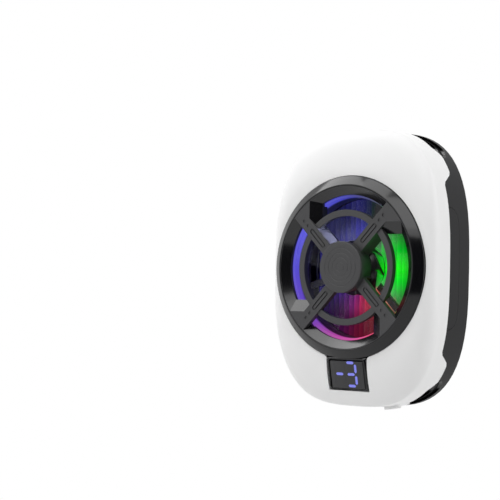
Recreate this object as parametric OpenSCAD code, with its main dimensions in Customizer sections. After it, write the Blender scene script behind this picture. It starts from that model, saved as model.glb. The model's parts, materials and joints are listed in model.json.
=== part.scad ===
// Phone cooling fan: a magnetic cooler with a fan, a heat sink and a thermoelectric module.
// Each piece is drawn lying on its back: x to the right, y up the body, z from the phone to the front.
// stand() then turns it upright, so the front faces -Y and the phone side is the plane Y = 0.

/* [Body] */
// Width of the body across the front
body_w = 60.6; // [54:0.2:70]
// Height of the body
body_h = 82.4; // [74:0.2:96]
// Depth from the phone to the flat of the front face
body_d = 20.7; // [19:0.1:26]
// Power of the rounded outline, where 2 is an ellipse
outline_power = 3; // [2.6:0.1:4]
// Wall of the front shell and the rear housing
wall = 1.6; // [1.2:0.1:2]
// Thickness of the front face
face_t = 1.8; // [1.4:0.1:2.2]
// Thickness of the rear wall
rear_t = 1.8; // [1.6:0.1:2.4]
// Width of the rounded edge along the sides
edge_side = 4.6; // [3:0.1:5.5]
// Reach of the rounded edge back from the front face
edge_back = 4.2; // [3:0.1:5.5]
// How far the skirt leans in towards the front
skirt_lean = 0.4; // [0:0.1:0.8]
// Width of the sloping face at both ends
edge_end = 13; // [8:0.2:14]
// Depth of the front shell along the sides
skirt_side = 8.2; // [7:0.1:9]
// Depth of the front shell at the top and bottom
skirt_end = 12.4; // [11:0.1:13]
// Height above the middle where the skirt starts to deepen
step_low = 24.7; // [23.5:0.1:26]
// Height above the middle where the skirt is at its deepest
step_high = 27.5; // [27:0.1:30]
// How far the rear housing stands in from the front shell
housing_inset = 0.25; // [0:0.05:0.5]
// Chamfer round the back of the rear housing
rear_chamfer = 1.2; // [0.4:0.1:1.6]

/* [Vents] */
// Reach of the vents in from the top and bottom ends
vent_reach = 8.1; // [6:0.1:8.2]
// How far a vent cuts into the front shell
vent_rise = 2; // [0.5:0.1:2.4]
// How far a vent cuts into the rear housing
vent_drop = 3.3; // [1.5:0.1:3.6]
// Length over which a vent opens
vent_curve = 4; // [2:0.1:5]
// Depth of the step round a vent
vent_step = 1.1; // [0.4:0.1:1.4]
// Half width of the skirt's tongue round the socket and the button
tongue_half = 14.4; // [13.8:0.1:16]

/* [Bezel and grille] */
// Least width of the face beside the bezel
bezel_margin = 3.3; // [2.2:0.1:4]
// Width of the bezel's sloping rim
rim_w = 3; // [2.6:0.1:3.4]
// Height of the crest above the front face
crest_h = 2.1; // [1:0.1:3]
// Depth that the bezel's flange is let into the face
flange_sink = 0.5; // [0.3:0.05:0.8]
// Wall of the bezel's sleeve
sleeve_t = 1.4; // [1:0.1:1.5]
// Width of the ledge that carries the grille
ledge_w = 1.4; // [1:0.1:1.8]
// Depth of the grille
grille_t = 4.2; // [3.4:0.1:4.6]
// Width of a spoke
spoke_w = 3.8; // [3:0.1:5]
// Distance of a spoke's middle line from the axis
spoke_shift = 0.9; // [0:0.1:1.2]
// Inner radius of the grille's ring
ring_r_in = 15.1; // [13:0.1:16]
// Outer radius of the grille's ring
ring_r_out = 17; // [16.5:0.1:18.5]
// Depth of the grille's ring
ring_t = 1.7; // [1:0.1:2.4]
// Width of the slope along the outer edge of the grille's outer windows
ramp_w = 2.4; // [1.5:0.1:2.8]
// Width of the slope at the end of those windows
end_ramp_w = 3.5; // [2:0.1:4]
// Depth of both slopes
ramp_h = 1.9; // [0.8:0.1:2]
// Distance of the end slope's upper edge from the axis
window_half = 13.2; // [11:0.1:14]
// Radius of the hub cap
cap_r = 7.6; // [6:0.1:9]
// Height of the hub cap above the grille
cap_h = 1.9; // [1:0.1:3]

/* [Display] */
// Width of the display frame
display_w = 14.4; // [13:0.1:16]
// Distance of the display frame from the lower end
display_margin = 5.1; // [4:0.1:5.4]
// Length of the display frame below the bezel
display_len = 9.8; // [9.4:0.1:10.6]
// Tilt of the display
display_tilt = 12; // [6:0.1:14]
// Height of the display frame's middle above the front face
display_proud = -0.4; // [-0.8:0.05:0.6]
// Width of the display window
glass_w = 12.4; // [11:0.1:12.8]
// Height of the display window
glass_h = 8.3; // [7.4:0.1:8.6]
// Thickness of the display window
glass_t = 0.8; // [0.5:0.1:1]
// Height of a digit between its outer segments
digit_h = 6.7; // [5:0.1:7]
// Width of a digit between its upright segments
digit_w = 2.9; // [2:0.1:3.2]
// Distance between the two digits
digit_pitch = 4.1; // [3.9:0.1:5]
// Width of one segment
segment_w = 0.7; // [0.4:0.05:0.8]

/* [Fan] */
// Gap between the blade tips and the light ring
tip_gap = 0.8; // [0.5:0.1:1.5]
// Number of blades
blade_count = 9; // [5:1:11]
// Thickness of a blade
blade_t = 0.7; // [0.5:0.05:1]
// Radius of the rotor's hub
rotor_hub_r = 8; // [7.6:0.1:9]
// Radius of the fan shaft
shaft_r = 1; // [0.75:0.05:1.2]
// Running clearance of the shaft in its bearing
bearing_gap = 0.03; // [0.01:0.01:0.1]
// Thickness of the fan frame
frame_t = 1; // [0.8:0.1:1.2]
// Number of struts that carry the motor
strut_count = 3; // [3:1:5]
// Wall of the light ring round the blades
light_t = 1.2; // [0.8:0.1:1.3]

/* [Cooling stack] */
// Thickness of the thermal pad
pad_t = 0.6; // [0.4:0.1:0.9]
// Height of the phone side above the rear face
pad_proud = 1; // [0.8:0.1:1.2]
// Distance from the cold plate to the magnets
plate_margin = 2.8; // [2.6:0.1:4]
// Thickness of the rear wall under the cold plate's flange
rebate_floor = 0.8; // [0.6:0.1:1]
// Side of the thermoelectric module
peltier_w = 30; // [26:0.5:30]
// Thickness of the module's ceramic plates
ceramic_t = 0.7; // [0.5:0.1:0.9]
// Height of the module's legs
leg_h = 1.2; // [1:0.1:1.6]
// Thickness of the heat sink's base
sink_base = 1.4; // [1:0.1:1.8]
// Height of the heat sink's fins
fin_h = 4.9; // [3:0.1:5.4]
// Thickness of a fin
fin_t = 0.5; // [0.3:0.05:0.8]
// Distance between fins
fin_pitch = 1.9; // [1.5:0.05:2.4]
// Distance from the fins to the heat sink's screws
fin_margin = 3.4; // [3:0.1:6]

/* [Magnets] */
// Least distance of the magnet ring from the side walls
magnet_margin = 1.45; // [0.6:0.05:2]
// Width of the magnet ring
magnet_w = 3.2; // [2.4:0.1:3.4]
// Thickness of the magnets
magnet_t = 1.8; // [1:0.1:1.9]
// Number of magnets
magnet_count = 15; // [8:1:18]
// Thickness of the steel ring on the magnets
yoke_t = 0.5; // [0.3:0.05:0.6]

/* [Controls] */
// Distance of the button to the right of the middle
button_x = 10.4; // [9:0.1:12]
// Width of the button
button_w = 5.4; // [4:0.1:5.6]
// Thickness of the button
button_t = 2.8; // [2:0.1:3]
// Height of the button above the wall
button_proud = 0.65; // [0.6:0.05:1.2]
// Travel of the button
button_travel = 0.5; // [0.3:0.05:0.6]
// Thickness of the main board
board_t = 1; // [0.8:0.1:1.2]
// Half height of the clip in each side wall
clip_half = 17.5; // [12:0.5:19]
// How far a side clip stands out of the wall
clip_proud = 0.05; // [0:0.05:0.4]
// Depth of a side clip behind the front shell
clip_d = 4.8; // [3.5:0.1:6]

/* [Fasteners] */
// Radius of a case screw
case_screw_r = 1; // [0.8:0.05:1.1]
// Radius of the small screws
small_screw_r = 0.8; // [0.6:0.05:0.9]

/* [Hidden] */
$fn = 96;
eps = 0.01;
over = 1;
outline_points = 72;
outer_steps = 7;
inner_steps = 5;
side_power = 2;
end_power = 1.45;

// Clearances
slip = 0.05;
press = 0.02;
gap = 0.15;
key_gap = 0.2;
rotor_gap = 0.6;

// Heights from the phone side, up the stack
z_rear = pad_proud;
z_rear_in = z_rear + rear_t;
z_flange = z_rear + rebate_floor;
z_peltier = z_rear_in + 2*ceramic_t + leg_h;
z_sink = z_peltier + sink_base;
z_fins = z_sink + fin_h;
z_frame = z_fins + frame_t;
z_face = body_d;
z_face_in = z_face - face_t;
z_skirt_side = z_face - skirt_side;
z_skirt_end = z_face - skirt_end;
z_crest = z_face + crest_h;

// Places that follow from the body's size
display_low = body_h/2 - display_margin;
display_high = display_low - display_len;
bezel_over = 0.7;
bezel_r = min(body_w/2 - bezel_margin, display_high + bezel_over);
crest_r = bezel_r - rim_w;
vent_y = body_h/2 - vent_reach;
vent_turns = 8;
vent_step_w = 0.7;
skirt_edge = [[step_low, z_skirt_side], [step_high, z_skirt_end], [vent_y, z_skirt_end],
              [vent_y + vent_curve, z_skirt_end + vent_rise], [body_h, z_skirt_end + vent_rise]];

// Bezel and grille
flange_t = 0.8;
crest_flat = 0.35;
z_flange_low = z_face - flange_sink;
sleeve_r = crest_r + sleeve_t;
grille_r = crest_r - slip;
grille_sink = 0.1;
z_grille = z_crest - grille_sink;
z_grille_low = z_grille - grille_t;
ledge_t = 1.2;
z_sleeve_low = z_grille_low - ledge_t;
ring_drop = 0.4;
window_rim = 0.1;
z_ramp = z_grille - ramp_h;
ramp_r = grille_r - window_rim - ramp_w;
spoke_edge = spoke_w/2 - spoke_shift;
spoke_far_edge = spoke_w/2 + spoke_shift;
spoke_plate_t = 1.7;
web_t = 1;
web_lean = 0.7;
web_reach = 19;
cap_rim = 0.6;
hub_r = cap_r - cap_rim;
cap_pin_r = 2.4;
cap_pin_h = 2;
cap_edge = 0.3;
slot_len = 7.4;
slot_w = 1.5;
slot_depth = 0.3;
slot_rib_w = 0.7;
slot_mid_r = 13.1;
dot_r = 0.5;
dot_depth = 0.2;
dot_radii = [18.4, 20.4];
lug_angle = 30;
lug_reach = 0.7;
lug_root = 0.2;
lug_turns = [45, 135, 225, 315];

// Display, in a frame of its own that lies on the tilted face
display_y = -(display_low + display_high)/2;
display_h = (display_low - display_high)/cos(display_tilt);
z_display = z_face + display_proud;
glass_sink = 0.25;
segment_t = 0.15;
glass_seat_x = 0.4;
glass_seat_y = 0.3;
block_w = glass_w - 2*glass_seat_x;
block_h = glass_h - 2*glass_seat_y;
block_t = 2.6;
glass_back = glass_sink + glass_t;
segment_space = 0.1;
segment_back = glass_back + segment_space + segment_t;
block_back = segment_back + block_t;
display_board_t = 0.8;
digits_x = -0.45;
segment_gap = 0.12;
lit = [[6], [0, 1, 2, 3, 6]];
pin_count = 5;
pin_pitch = 1.6;
pin_r = 0.3;
pin_low = 1;
pin_y = display_y - pin_low;

// Fan and motor
led_board_reach = 0.4;
led_board_w = 3.6;
led_board_r_out = sleeve_r + led_board_reach;
led_board_r_in = led_board_r_out - led_board_w;
light_r_out = led_board_r_in - key_gap;
light_r_in = light_r_out - light_t;
blade_r = light_r_in - tip_gap;
led_board_t = 0.8;
led_count = 8;
led_size = [1.6, 2, 0.8];
light_lip = 1;
light_top = z_ramp - light_lip - key_gap;
motor_r = 7;
strut_w = 2;
strut_start = 195;
head_scale = 1.85;
small_head_t = 0.9;
ear_out = 2.9;
ear_xy = (led_board_r_out + ear_out)/sqrt(2);
ear_r = 2.2;
fan_screw_len = 4;
motor_board_t = 0.5;
bearing_t = 1;
bearing_r = shaft_r + bearing_gap + bearing_t;
tube_r_in = bearing_r + press;
bearing_tube_t = 1;
tube_r_out = tube_r_in + bearing_tube_t;
tube_floor = 0.4;
bearing_rise = 1.1;
z_bearing = z_fins + bearing_rise;
rotor_low_gap = 0.35;
z_rotor = z_frame + motor_board_t + rotor_low_gap;
z_rotor_top = z_grille_low - rotor_gap;
rotor_top_t = 1;
rotor_wall = 0.8;
bearing_top_gap = 0.5;
z_bearing_top = z_rotor_top - rotor_top_t - bearing_top_gap;
magnet_wall = 0.85;
rotor_in_r = rotor_hub_r - rotor_wall;
rotor_magnet_r = rotor_in_r - press;
rotor_magnet_in = rotor_magnet_r - magnet_wall;
air_gap = 0.35;
shoe_r = rotor_magnet_in - air_gap;
shoe_t = 0.5;
core_t = 0.8;
core_r = tube_r_out + slip + core_t;
pole_count = 4;
pole_w = 1.4;
shoe_angle = 62;
core_rise = 0.5;
z_core = z_frame + motor_board_t + core_rise;
core_top_gap = 0.7;
z_core_top = z_bearing_top - core_top_gap;
coil_space = 0.5;
coil_cover = 0.3;
coil_t = 0.6;
clip_groove = 0.28;
clip_t = 0.25;
clip_w = 0.6;
clip_r = shaft_r + clip_w;
clip_gap = 0.3;
z_clip = z_bearing - clip_gap;
blade_rise = 1;
blade_low = z_frame + blade_rise;
blade_high = z_rotor_top - key_gap;
blade_root = 0.4;
magnet_rise = 0.2;
motor_board_in = 0.4;
shaft_gap = 0.1;
blade_pitch = 38;
camber_r = 9;

// Magnets, outside the foam round the thermoelectric module
foam_gap = 0.3;
foam_t = 0.7;
foam_corner = (peltier_w/2 + foam_gap + foam_t)*sqrt(2);
rib_t = 0.5;
rib_h = 0.7;
magnet_seat = 0.1;
magnet_r_out = body_w/2 - housing_inset - wall - magnet_margin;
magnet_r_in = max(magnet_r_out - magnet_w, foam_corner + slip + rib_t + magnet_seat);
rib_r = magnet_r_in - magnet_seat;
magnet_gap_angle = 30;
magnet_step = (360 - magnet_gap_angle)/magnet_count;
magnet_slot = 0.8;
grip_reach_in = 0.2;
grip_reach_out = 0.4;
grip_r_in = magnet_r_in - grip_reach_in;
grip_r_out = magnet_r_out + grip_reach_out;
grip_sink = 0.5;
grip_low = 0.1;

// Cooling stack
plate_r = magnet_r_in - plate_margin;
plate_gap = 0.3;
plate_flange_w = 1.7;
rebate_gap = 0.3;
leg_rows = 5;
leg_share = 0.55;
lead_r = 0.5;
lead_x = 1.6;
lead_tuck = 1;
lead_start = peltier_w/2 - lead_tuck;
sensor = [1.6, 0.9, 0.9];
fin_screw_gap = 0.6;
fin_side = ear_xy - small_screw_r*head_scale - fin_screw_gap - fin_t/2;
fin_rows = floor(fin_side/fin_pitch);
fin_edge = 0.1;
sink_half_w = fin_rows*fin_pitch + fin_t/2 + fin_edge;
sink_post_r = 2;
sink_post_gap = 0.4;
sink_screw_x = 14.8;
sink_screw_y = sqrt(pow(magnet_r_out + sink_post_r + sink_post_gap, 2) - pow(sink_screw_x, 2));
sink_end = 1.8;
sink_half_h = sink_screw_y + sink_end;
fin_half = sink_screw_y - fin_margin;
sink_hole_floor = 0.4;
leg_edge = 2;
pad_inset = 0.4;

// Case screws, boards and controls
boss_in_x = 10.6;
boss_in_y = 10.3;
boss_x = body_w/2 - boss_in_x;
boss_y = body_h/2 - boss_in_y;
boss_r = 2.5;
tube_case_r = 2.7;
counterbore = 2.4;
case_seat = z_rear + counterbore;
case_head_r = 1.8;
case_head_t = 1.1;
case_screw_end = 4.6;
case_screw_len = z_face_in - case_seat - case_screw_end;
hole_end = 0.6;
board_rise = 0.6;
board_z = z_skirt_end + board_rise;
board_top = board_z + board_t;
board_gap = 0.9;
board_inset = wall + board_gap;
board_low = -body_h/2;
board_high = -sink_half_h - board_gap;
board_side_gap = 0.4;
board_half_w = boss_x - boss_r - board_side_gap;
board_post_in_x = 1.5;
board_post_in_y = 2.3;
board_post_x = board_half_w - board_post_in_x;
board_post_y = board_high - board_post_in_y;
board_post_r = 1.6;
board_hole_floor = 1;
lead_in = 1.5;
lead_y = board_high - lead_in;
usb_w = 8.94;
usb_h = 3.26;
usb_len = 7.3;
usb_wall = 0.3;
usb_sink = 0.6;
usb_floor = 1;
usb_y = -body_h/2 + usb_sink;
usb_z = board_top + usb_h/2;
tongue = [6.7, 4.4, 0.7];
chip = [3.6, 3.6, 0.9];
coil = [3, 1.8, 1.4];
chip_gap = 0.8;
chip_x = -usb_w/2 - chip_gap - chip.x/2;
chip_y = board_high - chip_gap - chip.y/2 - coil.y;
coil_y = board_high - chip_gap/2 - coil.y/2;
button_rise = 1.65;
button_z = board_top + button_rise;
button_curve = pow(1 - pow(2*button_x/body_w, outline_power), 1/outline_power);
button_in_y = -(body_h/2 - wall - skirt_lean)*button_curve;
button_back = 1.1;
button_flange_y = button_in_y + button_back;
button_flange_t = 0.7;
button_flange_w = 0.7;
notch_w = button_w + 2*button_flange_w + 2*key_gap;
notch_y = button_flange_y + button_flange_t + button_travel + key_gap;
plunger_w = 1.8;
plunger_h = 1;
plunger_len = 2.2;
switch_w = 4.6;
switch_l = 3.2;
switch_h = 2.9;
switch_y = button_flange_y + button_flange_t + plunger_len/2;
pry_r = 0.7;
pry_y = -22.8;
pry_reach = 4;
clip_wall = 0.9;
clip_root = 1.5;
clip_bridge = 0.9;
clip_corner = 4;
clip_root_t = 1;
clip_root_in = wall + skirt_lean + clip_root_t;

// Helpers

module stand() rotate([90, 0, 0]) children();

function signed_pow(v, p) = sign(v)*pow(abs(v), p);

function oval(inset_x, inset_y) = [
    for (i = [0:outline_points - 1])
        let (t = 360*i/outline_points)
        [(body_w/2 - inset_x)*signed_pow(cos(t), 2/outline_power),
         (body_h/2 - inset_y)*signed_pow(sin(t), 2/outline_power)]];

function outline(inset) = oval(inset, inset);

function flat_ring(inset, z) = [for (p = outline(inset)) [p.x, p.y, z]];

// Share of a rounded edge's width that lies outside the height h, from 0 at its top to 1 at its foot
function edge_share(h, power) = 1 - pow(1 - pow(1 - h, power), 1/power);

// Rings of the front shell's surface, moved in by depth and with its face lowered by drop
function shell_rings(depth, drop, low, steps) = concat(
    [flat_ring(depth, low)],
    [for (k = [0:steps])
        let (h = 1 - sin(90*k/steps),
             inset_x = depth + skirt_lean + edge_side*edge_share(h, side_power),
             inset_y = depth + skirt_lean + edge_end*edge_share(h, end_power))
        [for (q = oval(inset_x, inset_y)) [q.x, q.y, z_face - drop - edge_back*h]]]);

module loft(rings) {
    n = len(rings[0]);
    m = len(rings);
    points = [for (r = rings) each r];
    low = [for (i = [0:n - 1]) i];
    high = [for (i = [n - 1:-1:0]) (m - 1)*n + i];
    sides = [for (k = [0:m - 2], i = [0:n - 1])
        let (j = (i + 1) % n)
        [k*n + i, (k + 1)*n + i, (k + 1)*n + j, k*n + j]];
    polyhedron(points, concat([low], [high], sides));
}

module slab(inset, low, high) translate([0, 0, low]) linear_extrude(high - low) polygon(outline(inset));

module tube(r_out, r_in, low, high) difference() {
    translate([0, 0, low]) cylinder(r = r_out, h = high - low);
    translate([0, 0, low - over]) cylinder(r = r_in, h = high - low + 2*over);
}

module rod(r, low, high) translate([0, 0, low]) cylinder(r = r, h = high - low);

module block(size_x, size_y, low, high) translate([-size_x/2, -size_y/2, low])
    cube([size_x, size_y, high - low]);

module corners(x, y) for (sx = [-1, 1], sy = [-1, 1]) translate([sx*x, sy*y, 0]) children();

// A flat bar with round ends, along x
module bar(length, width, low, high) {
    block(length - width, width, low, high);
    for (s = [-1, 1]) translate([s*(length - width)/2, 0, 0]) rod(width/2, low, high);
}

// The same bar standing on its end, along y from low to high, centred on x and z
module upright_bar(length, width, low, high) translate([0, high, 0]) rotate([90, 0, 0])
    bar(length, width, 0, high - low);

// A profile of heights y and z at both ends, drawn out across the body
module both_ends(points) rotate([90, 0, 90]) translate([0, 0, -body_w]) linear_extrude(2*body_w)
    for (s = [-1, 1]) polygon([for (p = points) [s*p.x, p.y]]);

// What the skirt leaves free along the sides and over the vents
module side_step(low) difference() {
    both_ends(concat([[-eps, low], [-eps, z_skirt_side]], skirt_edge, [[body_h, low]]));
    translate([0, -body_h/2, 0]) block(2*tongue_half, 2*vent_reach, low - over, z_skirt_side);
}

module screw(r, head_r, head_t, length) {
    difference() {
        rod(head_r, -head_t, 0);
        translate([0, 0, -head_t - eps]) cylinder(r = head_r/2, h = head_t/2, $fn = 6);
    }
    rod(r, 0, length);
}

module board_posts() for (s = [-1, 1]) translate([s*board_post_x, board_post_y, 0]) children();

module on_display() translate([0, display_y, z_display]) rotate([display_tilt, 0, 0]) children();

// Casing

module front_shell() color("white") stand() {
    difference() {
        union() {
            difference() {
                loft(shell_rings(0, 0, z_skirt_end, outer_steps));
                loft(shell_rings(wall, face_t, z_skirt_end - over, inner_steps));
                side_step(z_skirt_end - over);
            }
            intersection() {
                loft(shell_rings(wall/2, face_t/2, z_skirt_end - over, inner_steps));
                union() {
                    corners(boss_x, boss_y) rod(boss_r, z_skirt_end, z_face);
                    corners(ear_xy, ear_xy) rod(ear_r, z_frame, z_face);
                }
            }
        }
        corners(boss_x, boss_y)
            rod(case_screw_r + slip, z_skirt_end - over, case_seat + case_screw_len + hole_end);
        corners(ear_xy, ear_xy) rod(small_screw_r + slip, z_frame - over, z_fins + fan_screw_len + hole_end);
        rod(sleeve_r + gap, z_face_in - 2*over, z_face + over);
        rod(bezel_r + gap, z_flange_low, z_face + over);
        translate([0, -(display_low + gap)/2, 0])
            block(display_w + 2*gap, display_low + gap, z_sleeve_low - over, z_face + over);
        translate([0, 0, usb_z]) upright_bar(usb_w + 2*gap, usb_h + 2*gap, -body_h/2 - over, usb_y + 2*wall);
        translate([button_x, 0, button_z])
            upright_bar(button_w + 2*key_gap, button_t + 2*key_gap, -body_h/2 - over, button_in_y + over);
    }
}

module rear_housing() color([0.13, 0.13, 0.14]) stand() difference() {
    union() {
        difference() {
            union() {
                loft([flat_ring(housing_inset + rear_chamfer, z_rear),
                      flat_ring(housing_inset, z_rear + rear_chamfer),
                      flat_ring(housing_inset, z_skirt_end)]);
                intersection() {
                    slab(housing_inset, z_skirt_end - over, z_skirt_side);
                    side_step(z_skirt_end - 2*over);
                }
            }
            slab(housing_inset + wall, z_rear_in, z_skirt_side + over);
        }
        corners(boss_x, boss_y) rod(tube_case_r, z_rear_in - eps, z_skirt_end);
        corners(sink_screw_x, sink_screw_y) rod(sink_post_r, z_rear_in - eps, z_peltier);
        board_posts() rod(board_post_r, z_rear_in - eps, board_z);
        tube(rib_r, rib_r - rib_t, z_rear_in - eps, z_rear_in + rib_h);
    }
    rod(plate_r + plate_gap, z_rear - over, z_rear_in + over);
    rod(plate_r + plate_flange_w + rebate_gap, z_flange, z_rear_in + over);
    tube(grip_r_out + slip, grip_r_in - slip, z_rear - over, z_rear + grip_sink);
    corners(boss_x, boss_y) rod(case_screw_r + gap, z_rear - over, z_skirt_end + over);
    corners(boss_x, boss_y) rod(case_head_r + gap, z_rear - over, case_seat);
    corners(sink_screw_x, sink_screw_y)
        rod(small_screw_r + slip, z_rear_in + sink_hole_floor, z_peltier + over);
    board_posts() rod(small_screw_r + slip, z_rear_in + board_hole_floor, board_z + over);
    vent_hole(0);
    difference() {
        vent_hole(vent_step);
        slab(housing_inset + vent_step_w, z_rear, z_face);
    }
    for (turn = [0, 180]) rotate([0, 0, turn]) clip_pocket();
    translate([body_w/2, pry_y, z_rear]) rotate([0, 90, 0]) rod(pry_r, -pry_reach, over);
}

// The openings at both ends, which widen along a quarter oval and are grown by extra for their steps
module vent_hole(extra) both_ends(concat(
    [[body_h, z_skirt_side + over], [vent_y - extra, z_skirt_side + over]],
    [for (k = [0:vent_turns])
        [vent_y - extra + vent_curve*(1 - cos(90*k/vent_turns)),
         z_skirt_end - (vent_drop + extra)*sin(90*k/vent_turns)]],
    [[body_h, z_skirt_end - vent_drop - extra]]));

// Outline of a side clip, seen from the side, and grown by extra for its pocket
module clip_outline(extra) {
    z_low = z_skirt_side - clip_d;
    corner_y = clip_half - clip_corner;
    rotate([90, 0, 90]) linear_extrude(body_w) union() {
        translate([-clip_half - extra, z_low + clip_corner])
            square([2*(clip_half + extra), clip_d - clip_corner]);
        translate([-corner_y, z_low - extra]) square([2*corner_y, clip_d + extra]);
        for (s = [-1, 1]) translate([s*corner_y, z_low + clip_corner]) circle(clip_corner + extra);
    }
}

module clip_pocket() {
    intersection() {
        clip_outline(gap);
        difference() {
            slab(-over, z_skirt_side - 2*clip_d, z_skirt_side + eps);
            slab(housing_inset + clip_wall + slip, z_skirt_side - 2*clip_d - over, z_skirt_side + over);
        }
    }
    translate([0, -clip_half - gap, z_skirt_side - clip_bridge - gap])
        cube([body_w, 2*(clip_half + gap), clip_bridge + gap + eps]);
}

module side_clip() {
    intersection() {
        clip_outline(0);
        difference() {
            slab(housing_inset - clip_proud, z_skirt_side - 2*clip_d, z_skirt_side - slip);
            slab(housing_inset + clip_wall, z_skirt_side - 2*clip_d - over, z_skirt_side + over);
        }
    }
    intersection() {
        translate([0, -clip_half, z_skirt_side - clip_bridge])
            cube([body_w, 2*clip_half, clip_bridge + clip_root]);
        union() {
            difference() {
                slab(housing_inset + clip_wall - eps, z_skirt_side - clip_bridge, z_skirt_side - slip);
                slab(clip_root_in, z_skirt_side - clip_bridge - over, z_skirt_side + over);
            }
            difference() {
                slab(wall + skirt_lean + slip, z_skirt_side - clip_bridge, z_skirt_side + clip_root);
                slab(clip_root_in, z_skirt_side - clip_bridge - over, z_skirt_side + clip_root + over);
            }
        }
    }
}

module side_clips() color([0.15, 0.15, 0.16]) stand()
    for (turn = [0, 180]) rotate([0, 0, turn]) side_clip();

module case_screws() color("silver") stand() corners(boss_x, boss_y) translate([0, 0, case_seat])
    screw(case_screw_r, case_head_r, case_head_t, case_screw_len);

// Bezel, grille and display

module fan_bezel() color([0.07, 0.07, 0.08]) stand() difference() {
    union() {
        rotate_extrude() polygon([
            [crest_r - ledge_w, z_sleeve_low], [sleeve_r, z_sleeve_low], [sleeve_r, z_flange_low],
            [bezel_r, z_flange_low], [bezel_r, z_flange_low + flange_t], [crest_r + crest_flat, z_crest],
            [crest_r, z_crest], [crest_r, z_grille_low], [crest_r - ledge_w, z_grille_low]]);
        for (a = lug_turns) rotate([0, 0, a - lug_angle/2]) rotate_extrude(angle = lug_angle)
            translate([sleeve_r - lug_root, z_sleeve_low])
            square([lug_reach + lug_root, z_face_in - z_sleeve_low - slip]);
        display_body();
    }
    rod(crest_r, z_grille_low, z_crest + over);
    rod(crest_r - ledge_w, z_sleeve_low - over, z_crest + over);
    on_display() block(glass_w + 2*slip, glass_h + 2*slip, -glass_back, over);
    on_display() block(block_w + 2*slip, block_h + 2*slip, -body_d/2, over);
}

// The display frame below the ring, with a flat back inside the shell
module display_body() intersection() {
    reach = display_low - crest_r;
    translate([0, -display_low + reach/2, 0]) block(display_w, reach, z_sleeve_low, z_crest + over);
    on_display() block(2*display_w, 3*display_h, -body_d/2, 0);
}

// The guard, with a groove behind its rim for the light ring's edge
module fan_grille() color([0.2, 0.2, 0.21]) stand() difference() {
    union() {
        difference() {
            rod(grille_r, z_grille_low, z_grille);
            for (turn = [0:90:270]) rotate([0, 0, turn]) {
                outer_window();
                inner_window();
                ring_relief();
            }
            for (turn = [45:90:315]) rotate([0, 0, turn]) spoke_relief();
        }
        for (turn = [45:90:315]) rotate([0, 0, turn]) spoke_web();
    }
    for (turn = [45:90:315]) rotate([0, 0, turn]) translate([0, spoke_shift, 0]) spoke_marks();
    rod(cap_pin_r + slip, z_grille - cap_pin_h - key_gap, z_grille + over);
    tube(light_r_out + key_gap, light_r_in - key_gap, z_grille_low - over, light_top + key_gap);
}

// The stretch between two spokes on the +x side
module spoke_gap(reach) {
    corner = [(spoke_far_edge + spoke_edge)/sqrt(2), (spoke_far_edge - spoke_edge)/sqrt(2)];
    translate([0, 0, z_grille_low - over]) linear_extrude(grille_t + 3*over)
        polygon([corner, corner + [reach, -reach], corner + [reach, reach]]);
}

// Thins a spoke along +x from behind
module spoke_relief() translate([(hub_r + ramp_r)/2, spoke_shift + over/2, 0])
    block(ramp_r - hub_r, spoke_w + over, z_grille_low - over, z_grille - spoke_plate_t);

// The leaning web behind one edge of a spoke along +x
module spoke_web() translate([hub_r - web_t, 0, 0]) rotate([90, 0, 90]) linear_extrude(web_reach - hub_r + web_t)
    polygon([
        [-spoke_edge, z_grille - spoke_plate_t + eps], [web_t - spoke_edge, z_grille - spoke_plate_t + eps],
        [web_t - spoke_edge - web_lean, z_grille_low], [-spoke_edge - web_lean, z_grille_low]]);

// An outer window on the +x side, with a slope along its outer edge and one at its end
module outer_window() {
    low = z_grille_low - over;
    rise = over*ramp_w/ramp_h;
    end_rise = over*end_ramp_w/ramp_h;
    intersection() {
        spoke_gap(2*grille_r);
        union() {
            rod(ramp_r, low, z_ramp + eps);
            translate([0, 0, z_ramp]) cylinder(r1 = ramp_r, r2 = ramp_r + ramp_w + rise, h = ramp_h + over);
        }
        rotate([90, 0, 90]) linear_extrude(2*grille_r) polygon([
            [-2*grille_r, low], [window_half - end_ramp_w, low], [window_half - end_ramp_w, z_ramp],
            [window_half + end_rise, z_grille + over], [-2*grille_r, z_grille + over]]);
        tube(2*grille_r, ring_r_out, low, z_grille + over);
    }
}

module inner_window() intersection() {
    spoke_gap(2*grille_r);
    tube(ring_r_in, hub_r, z_grille_low - over, z_grille + over);
}

// Thins the ring from behind and lowers its front a little
module ring_relief() intersection() {
    spoke_gap(2*grille_r);
    union() {
        tube(ring_r_out + eps, ring_r_in - eps, z_grille_low - over, z_grille - ring_drop - ring_t);
        tube(ring_r_out + eps, ring_r_in - eps, z_grille - ring_drop, z_grille + over);
    }
}

// A shallow slot with a rib in it, and two dimples, on the front of a spoke
module spoke_marks() {
    translate([slot_mid_r, 0, 0]) difference() {
        bar(slot_len, slot_w, z_grille - slot_depth, z_grille + over);
        bar(slot_len - slot_w + slot_rib_w, slot_rib_w, z_grille - slot_depth - over, z_grille + 2*over);
    }
    for (r = dot_radii) translate([r, 0, 0]) rod(dot_r, z_grille - dot_depth, z_grille + over);
}

module hub_cap() color([0.19, 0.19, 0.2]) stand() rotate_extrude() polygon([
    [0, z_grille - cap_pin_h], [cap_pin_r, z_grille - cap_pin_h], [cap_pin_r, z_grille], [cap_r, z_grille],
    [cap_r, z_grille + cap_h - cap_edge], [cap_r - cap_edge, z_grille + cap_h], [0, z_grille + cap_h]]);

module display_window() color([0.2, 0.2, 0.22, 0.6]) stand() on_display()
    block(glass_w, glass_h, -glass_back, -glass_sink);

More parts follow.
